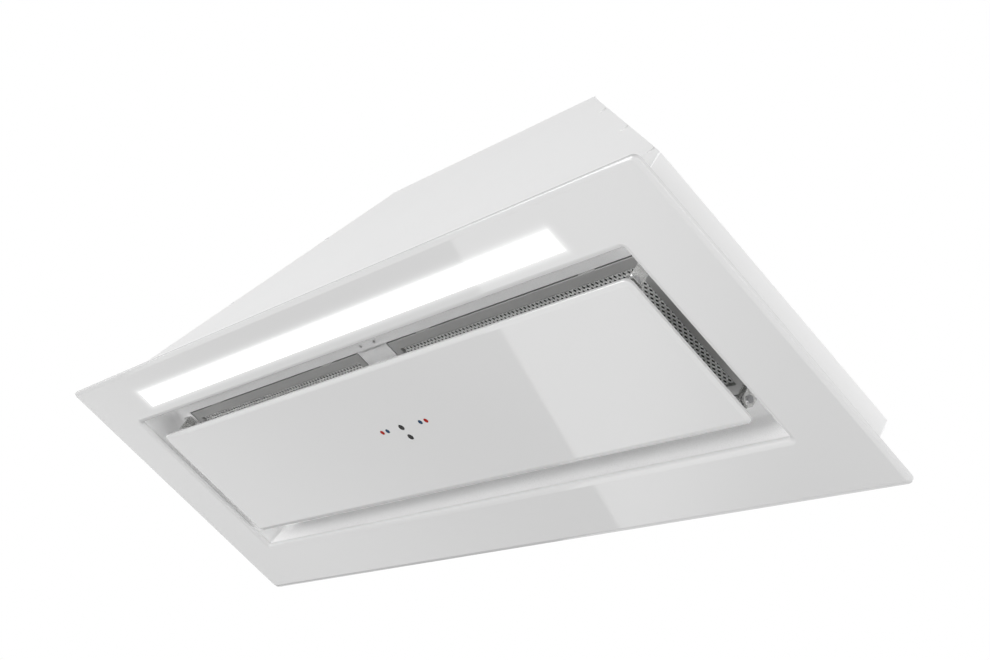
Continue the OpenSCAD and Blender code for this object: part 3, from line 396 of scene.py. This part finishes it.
def round_outline(centre, radius):
    """Points of a circle, anticlockwise."""
    turns = [2 * math.pi * k / circle_steps for k in range(circle_steps)]
    return [Vector((centre.x + radius * math.cos(a), centre.y + radius * math.sin(a)))
            for a in turns]


def ring_at(bm, points, z):
    return [bm.verts.new((p.x, p.y, z)) for p in points]


def join_rings(bm, lower, upper, material=0):
    """Fills the band between two rings of as many vertices."""
    for k in range(len(lower)):
        n = (k + 1) % len(lower)
        made = bm.faces.new((lower[k], lower[n], upper[n], upper[k]))
        made.material_index = material


def inside(point, ring):
    """Says whether a point lies inside a ring of vertices, seen from above."""
    odd = False
    for a, b in zip(ring, ring[1:] + ring[:1]):
        if (a.co.y > point.y) != (b.co.y > point.y):
            if point.x < (b.co.x - a.co.x) * (point.y - a.co.y) / (b.co.y - a.co.y) + a.co.x:
                odd = not odd
    return odd


def fill_flat(bm, rings, up):
    """Fills the flat area inside the first ring of vertices and outside the others."""
    verts = [v for ring in rings for v in ring]
    edges = []
    start = 0
    for ring in rings:
        edges += [(start + k, start + (k + 1) % len(ring)) for k in range(len(ring))]
        start += len(ring)
    flat = [Vector((v.co.x, v.co.y)) for v in verts]
    _, _, faces, orig, _, _ = delaunay_2d_cdt(flat, edges, [], 0, fill_precision)
    for face in faces:
        corner = [verts[orig[k][0]] for k in face]
        middle = sum((Vector((v.co.x, v.co.y)) for v in corner), Vector((0, 0))) / len(corner)
        if inside(middle, rings[0]) and not any(inside(middle, ring) for ring in rings[1:]):
            bm.faces.new(corner if up else corner[::-1])


# Glass panes


def in_mm(*levels):
    return [(inset * mm, share) for inset, share in levels]


# The profile of a ground edge: how far the glass draws back from its outline, and at what share
# of its thickness. The front comes first.
soft_arris = in_mm((4.6, 0), (3.2, 0.05), (2, 0.155), (1, 0.24), (0.4, 0.3), (0.1, 0.36), (0, 0.45))
pane_rim = soft_arris + in_mm((0, 0.96), (0.15, 1))
opening_rim = soft_arris[:-1] + in_mm((-0.2, 0.45), (-0.8, 0.65), (-1.2, 0.85), (-1.35, 1))
slot_rim = in_mm((0.15, 0), (0.05, 0.015), (0, 0.04), (0, 1))
glass_corner = 6 * mm
opening_corner = 3 * mm
panel_corner = 6 * mm
window_corner = 1.2 * mm
opening_low = Vector((-0.382, -0.0995, 0))
opening_high = Vector((0.3814, 0.0995, 0))


def pane_edge(bm, low, high, radius, z0, z1, edge, grow):
    """The ground edge of a pane along one outline.

    grow is 1 on the outside and -1 around a hole.
    """
    rings = []
    for inset, share in edge:
        z = z0 + (z1 - z0) * share
        shift = Vector((inset, inset, 0)) * grow
        corner = max(radius - inset * grow, least_corner)
        rings.append(ring_at(bm, rounded_outline(low + shift, high - shift, corner), z))
    for a, b in zip(rings, rings[1:]):
        join_rings(bm, a, b)
    return rings[0], rings[-1]


def pane(name, outer, holes, pockets, z0, z1, body, slot, face, pocket_depth=0):
    """A glass pane with ground edges.

    An outline is (low, high, radius, edge), and a pocket in its front is (centre, radius).
    """
    bm = bmesh.new()
    below, above = [], []
    for k, (low, high, radius, edge) in enumerate([outer] + holes):
        first, last = pane_edge(bm, low, high, radius, z0, z1, edge, 1 if k == 0 else -1)
        below.append(first)
        above.append(last)
    for centre, radius in pockets:
        rim = ring_at(bm, round_outline(centre, radius), z0)
        floor = ring_at(bm, round_outline(centre, radius), z0 + pocket_depth)
        join_rings(bm, rim, floor)
        bm.faces.new(floor)
        below.append(rim)
    fill_flat(bm, below, False)
    fill_flat(bm, above, True)
    return build(name, bm, body, slot, face)


def take_island(left):
    """Takes the vertices of one separate piece of a mesh out of the set left."""
    island, queue = set(), [left.pop()]
    while queue:
        v = queue.pop()
        island.add(v)
        for e in v.link_edges:
            other = e.other_vert(v)
            if other in left:
                left.remove(other)
                queue.append(other)
    return island


def node_marks(*names):
    """Centre and radius of each round mark in some CAD nodes, from left to right."""
    found = []
    for name in names:
        mesh = bmesh.new()
        mesh.from_mesh(nodes[name].data)
        bmesh.ops.remove_doubles(mesh, verts=mesh.verts, dist=same_point)
        left = set(mesh.verts)
        while left:
            island = take_island(left)
            xs = [v.co.x for v in island]
            ys = [v.co.y for v in island]
            centre = Vector(((min(xs) + max(xs)) / 2, (min(ys) + max(ys)) / 2))
            found.append((centre, (max(xs) - min(xs)) / 2))
        mesh.free()
    return sorted(found, key=lambda mark: tuple(mark[0]))


outer_pane = pane("outer_glass_pane", (glass_low, glass_high, glass_corner, pane_rim),
                  [(opening_low, opening_high, opening_corner, opening_rim),
                   (window_low, window_high, window_corner, slot_rim)], [],
                  glass_low.z, glass_high.z, "hood", "white_glass", "white_glass")
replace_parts(outer_pane, "outer_glass")

marks = node_marks("marks_red", "marks_blue", "marks_grey")
mark_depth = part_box("marks_red")[1].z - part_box("marks_red")[0].z
front_pane = pane("front_glass_pane", (panel_low, panel_high, panel_corner, pane_rim), [],
                  marks, panel_low.z, panel_high.z, "front_panel", "white_glass", "panel_glass",
                  mark_depth)
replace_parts(front_pane, "front_glass")


# Opal lens: a plug that fills the window, and a rim behind the glass

lens_fit = 0.2 * mm


def opal_cover():
    fit = Vector((lens_fit, lens_fit, 0))
    low, high = window_low + fit, window_high - fit
    rim_low, rim_high = Vector((lens_low.x, lens_low.y, 0)), Vector((lens_high.x, lens_high.y, 0))
    bm = bmesh.new()
    seat = glass_high.z + lens_fit
    rings = [ring_at(bm, rounded_outline(a, b, window_corner), z) for a, b, z in (
        (low + fit, high - fit, lens_low.z),
        (low, high, lens_low.z + lens_fit),
        (low, high, seat),
        (rim_low, rim_high, seat),
        (rim_low, rim_high, lens_high.z))]
    for a, b in zip(rings, rings[1:]):
        join_rings(bm, a, b)
    fill_flat(bm, rings[:1], False)
    fill_flat(bm, rings[-1:], True)
    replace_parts(build("opal_cover", bm, "hood", "opal_lens", "opal_lens"), "light_lens")


opal_cover()


# Recess liner: a pressed tray with rounded corners, a foot flange and a window for each filter

liner_flange = 7.5 * mm
liner_sheet = 1 * mm
liner_cove = 8 * mm
liner_corner = 3.2 * mm
corner_growth = 0.4
filter_window_corner = 1.5 * mm
filter_window_steps = 4
window_half_y = 73.4 * mm
filter_gap = 1.4 * mm
cove_steps = 7


def arc(cx, cz, radius, start, end):
    """Points of an arc in a cross-section, as (inset, height). The angles are in degrees."""
    turns = [math.radians(start + (end - start) * k / cove_steps) for k in range(cove_steps + 1)]
    return [(cx - radius * math.cos(a), cz + radius * math.sin(a)) for a in turns]


def pressed_liner():
    foot, top = liner_low.z, liner_high.z
    low = liner_low + Vector((liner_flange, liner_flange, 0))
    high = liner_high - Vector((liner_flange, liner_flange, 0))
    turn_z = top - liner_sheet - liner_cove
    inner = [(-liner_flange, foot), (0, foot)] + arc(liner_cove, turn_z, liner_cove, 0, 90)
    outer = arc(liner_cove, turn_z, liner_cove + liner_sheet, 90, 0)
    outer += [(-liner_sheet, foot + liner_sheet), (-liner_flange, foot + liner_sheet)]
    bm = bmesh.new()
    rings = []
    for inset, z in inner + outer:
        shift = Vector((inset, inset, 0))
        corner = max(liner_corner + corner_growth * inset, filter_window_corner)
        rings.append(ring_at(bm, rounded_outline(low + shift, high - shift, corner), z))
    brim = len(inner) - 1
    for k in range(len(rings)):
        if k != brim:
            join_rings(bm, rings[k], rings[(k + 1) % len(rings)])
    below, above = [rings[brim]], [rings[brim + 1]]
    for side in ("left", "right"):
        a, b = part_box("filter_frame_" + side)
        outline = rounded_outline(Vector((a.x - filter_gap, -window_half_y, 0)),
                                  Vector((b.x + filter_gap, window_half_y, 0)),
                                  filter_window_corner, filter_window_steps)
        below.append(ring_at(bm, outline, top - liner_sheet))
        above.append(ring_at(bm, outline, top))
        join_rings(bm, below[-1], above[-1])
    fill_flat(bm, below, False)
    fill_flat(bm, above, True)
    # The liner gets a lighter copy of the white sheet, painted light in the recess
    piece = build("pressed_liner", bm, "hood", "white_sheet", "lit_liner_paint")
    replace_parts(piece, "recess_liner")


pressed_liner()


# Filter mesh: expanded metal with strands that run from knot to knot, and a dark sheet above it,
# painted shade for the deeper layers

knot_x = 5.2 * mm
knot_y = 7.0 * mm
strand = 1.5 * mm
strand_thick = 0.6 * mm
strand_taper = 0.85  # width of a strand's lower face as a share of its upper face
shade_corner_steps = 2


def bar(bm, a, b):
    """A closed strand, a little narrower on its lower face."""
    d = (b - a).normalized()
    side = Vector((-d.y, d.x, 0)) * strand / 2
    lift = Vector((0, 0, strand_thick / 2))
    lower = side * strand_taper
    section = (side + lift, -side + lift, -lower - lift, lower - lift)
    ends = [[bm.verts.new(p + c) for c in section] for p in (a, b)]
    for k in range(4):
        n = (k + 1) % 4
        bm.faces.new((ends[0][k], ends[0][n], ends[1][n], ends[1][k]))
    bm.faces.new(ends[0][::-1])
    bm.faces.new(ends[1])


def expanded_mesh(name, node, body):
    low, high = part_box(node)
    bm = bmesh.new()
    across = max(1, round((high.x - low.x) / knot_x))
    along = max(1, round((high.y - low.y) / knot_y))
    step_x = (high.x - low.x) / across
    step_y = (high.y - low.y) / along
    middle_z = low.z + strand_thick / 2
    for i in range(across):
        for j in range(along):
            x, y = low.x + i * step_x, low.y + j * step_y
            centre = Vector((x + step_x / 2, y + step_y / 2, middle_z))
            for cx, cy in ((x, y), (x + step_x, y), (x, y + step_y), (x + step_x, y + step_y)):
                bar(bm, Vector((cx, cy, middle_z)), centre)
    # The dark sheet above the strands is painted shade for the deeper layers of mesh
    shade_low, shade_high = Vector((low.x, low.y, high.z - strand_thick / 2)), high
    outline = rounded_outline(shade_low, shade_high, strand, shade_corner_steps)
    rings = [ring_at(bm, outline, z) for z in (shade_low.z, shade_high.z)]
    join_rings(bm, *rings, 1)
    bm.faces.new(rings[0][::-1]).material_index = 1
    bm.faces.new(rings[1]).material_index = 1
    obj = build(name, bm, body, "mesh_aluminium", "mesh_aluminium", "painted_shade_mesh", smooth=False)
    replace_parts(obj, node)


for side in ("left", "right"):
    expanded_mesh("expanded_mesh_" + side, "filter_mesh_" + side, side + "_filter")


# Camera, at the place and angle of the photograph

photo_width = 990
photo_height = 660
focal_pixels = 1645.42
centre_x, centre_y = 452.95, 298.26  # the pixel that the camera's axis goes through
sensor = 36.0
camera_x, camera_y = 1.1959, -0.4886
camera_drop = 0.7154  # below the glass
right = Vector((0.58780, 0.65072, 0.48067))
up = Vector((0.21930, -0.70007, 0.67956))
back = Vector((0.77871, -0.29404, -0.55421))

camera_data = bpy.data.cameras.new("camera")
camera_data.sensor_width = sensor
camera_data.lens = focal_pixels / photo_width * sensor
camera_data.shift_x = (photo_width / 2 - centre_x) / photo_width
camera_data.shift_y = (centre_y - photo_height / 2) / photo_width
camera_data.clip_start = 0.05
camera = bpy.data.objects.new("camera", camera_data)
bpy.context.scene.collection.objects.link(camera)
turn = Matrix((right, up, back)).transposed().to_4x4()
camera.matrix_world = Matrix.Translation((camera_x, camera_y, face_z - camera_drop)) @ turn
bpy.context.scene.camera = camera


# Floor and background

floor_z = -3.0
floor_half = 12.0
floor_white = 0.86
floor_roughness = 0.9
floor_lift = 0.5  # emission that only the camera sees
world_strength = 0.5
world_seen_strength = 1.0


def pale_floor(name, colour, lift):
    """A matt floor, lifted nearly to white for the camera. It keeps the shadow of the hood."""
    made, n, links, shader = new_material(name)
    shader.inputs["Base Color"].default_value = (colour, colour, colour, 1)
    shader.inputs["Roughness"].default_value = floor_roughness
    shader.inputs["Emission Color"].default_value = white
    seen = n.new("ShaderNodeLightPath").outputs["Is Camera Ray"]
    links.new(math_node(n, links, "MULTIPLY", seen, lift), shader.inputs["Emission Strength"])
    return made


def white_world():
    """An even white background, brighter where it is seen than where it lights the hood."""
    world = bpy.data.worlds.new("world")
    bpy.context.scene.world = world
    world.use_nodes = True
    n, links = world.node_tree.nodes, world.node_tree.links
    rays = n.new("ShaderNodeLightPath").outputs
    seen = math_node(n, links, "MAXIMUM", rays["Is Camera Ray"], rays["Is Transmission Ray"])
    seen = math_node(n, links, "MAXIMUM", seen, rays["Is Glossy Ray"])
    strength = n.new("ShaderNodeMapRange")
    strength.inputs["To Min"].default_value = world_strength
    strength.inputs["To Max"].default_value = world_seen_strength
    links.new(seen, strength.inputs["Value"])
    background = n["Background"]
    links.new(strength.outputs["Result"], background.inputs["Strength"])
    background.inputs["Color"].default_value = white


bpy.ops.mesh.primitive_plane_add(size=2 * floor_half, location=(0, 0, floor_z))
floor = bpy.context.active_object
floor.name = "floor"
floor.data.materials.append(pale_floor("floor", floor_white, floor_lift))
white_world()


# Lamps: name, place, size and power in watts

lamps = (
    ("front_box", (0.0, -2.6, -2.2), (3.0, 1.4), 46),
    ("side_box", (2.4, 0.6, -0.35), (1.0, 1.0), 24),
    ("low_box", (1.5, 0.3, -1.7), (1.0, 1.0), 8.5),
    ("left_box", (-1.2, -1.2, -2.0), (1.0, 1.0), 21),
)
hood_middle = Vector((0, 0, face_z / 2))


def softbox(name, place, size, power):
    data = bpy.data.lights.new(name, "AREA")
    data.shape = "RECTANGLE"
    data.size, data.size_y = size
    data.energy = power
    lamp = bpy.data.objects.new(name, data)
    bpy.context.scene.collection.objects.link(lamp)
    lamp.location = place
    lamp.rotation_mode = "QUATERNION"
    lamp.rotation_quaternion = (Vector(place) - hood_middle).to_track_quat("Z", "Y")


for lamp in lamps:
    softbox(*lamp)


# Cards of the studio, which show in gloss alone

studio_drop = 0.55  # below the glass
studio_half_x, studio_half_y = 0.56, 0.24
# Shades of the studio card: slant, then where the shade starts and ends and its strength there.
# A place is x plus slant times y, on the glass.
left_shade = (-0.9, -0.45, 0.15, 0.75, 0.0)
right_shade = (0.8, 0.28, 0.50, 1.1, 0.1)
shade_border = (0.32, 0.189, 0.191, 0.0, 1.0)
edge_card_grey = (0.02, 0.02, 0.02, 1)
edge_card_x = -2.6
edge_card_low_y, edge_card_high_y = -0.5, 2.4
edge_card_low_z, edge_card_high_z = face_z - 1.15, face_z - 0.2


def gloss_card(name, corners, material):
    """A flat card with four corners that only shows in gloss."""
    bm = bmesh.new()
    bm.faces.new([bm.verts.new(corner) for corner in corners])
    data = bpy.data.meshes.new(name)
    bm.to_mesh(data)
    bm.free()
    card = bpy.data.objects.new(name, data)
    bpy.context.scene.collection.objects.link(card)
    data.materials.append(material)
    for ray in ("camera", "diffuse", "transmission", "volume_scatter", "shadow"):
        setattr(card, "visible_" + ray, False)


def studio_card():
    """A card below the hood: dark to the left, with one clean edge, and pale to the right.

    Its spread is worked out on the glass, in the photograph's mirror. A point of the card is a
    point of the glass times reach, plus shift.
    """
    drop = face_z - camera.location.z
    reach = (drop + studio_drop) / drop
    shift = Vector((camera.location.x, camera.location.y)) * (1 - reach)
    made, n, links, shader = new_material("studio_card")
    n.remove(shader)
    parts = n.new("ShaderNodeSeparateXYZ")
    links.new(object_place(n), parts.inputs["Vector"])

    def on_glass(axis, moved):
        centred = math_node(n, links, "SUBTRACT", parts.outputs[axis], moved)
        return math_node(n, links, "DIVIDE", centred, reach)

    x, y = on_glass("X", shift.x), on_glass("Y", shift.y)

    def shade(slant, start, end, low, high, smooth=True):
        along = math_node(n, links, "ADD", x, math_node(n, links, "MULTIPLY", y, slant))
        made_range = n.new("ShaderNodeMapRange")
        made_range.interpolation_type = "SMOOTHSTEP" if smooth else "LINEAR"
        levels = (("From Min", start), ("From Max", end), ("To Min", low), ("To Max", high))
        for socket, value in levels:
            made_range.inputs[socket].default_value = value
        links.new(along, made_range.inputs["Value"])
        return made_range.outputs["Result"]

    mixed = n.new("ShaderNodeMix")
    factor, first, second = mixed.inputs[0], mixed.inputs[2], mixed.inputs[3]
    links.new(shade(*left_shade), first)
    links.new(shade(*right_shade), second)
    links.new(shade(*shade_border, smooth=False), factor)
    glow = n.new("ShaderNodeEmission")
    links.new(mixed.outputs[0], glow.inputs["Strength"])
    links.new(glow.outputs[0], n["Material Output"].inputs["Surface"])
    half_x, half_y, z = studio_half_x, studio_half_y, face_z - studio_drop
    spread = ((-half_x, -half_y), (half_x, -half_y), (half_x, half_y), (-half_x, half_y))
    corners = [(px * reach + shift.x, py * reach + shift.y, z) for px, py in spread]
    gloss_card("studio_card", corners, made)


def edge_card():
    """A dark upright card at the left, which darkens the glass edges that are turned to it."""
    made, _, _, shader = new_material("edge_card")
    shader.inputs["Base Color"].default_value = edge_card_grey
    shader.inputs["Roughness"].default_value = 1
    corners = ((edge_card_x, edge_card_low_y, edge_card_low_z),
               (edge_card_x, edge_card_high_y, edge_card_low_z),
               (edge_card_x, edge_card_high_y, edge_card_high_z),
               (edge_card_x, edge_card_low_y, edge_card_high_z))
    gloss_card("edge_card", corners, made)


studio_card()
edge_card()

bpy.context.scene.view_settings.view_transform = "Standard"
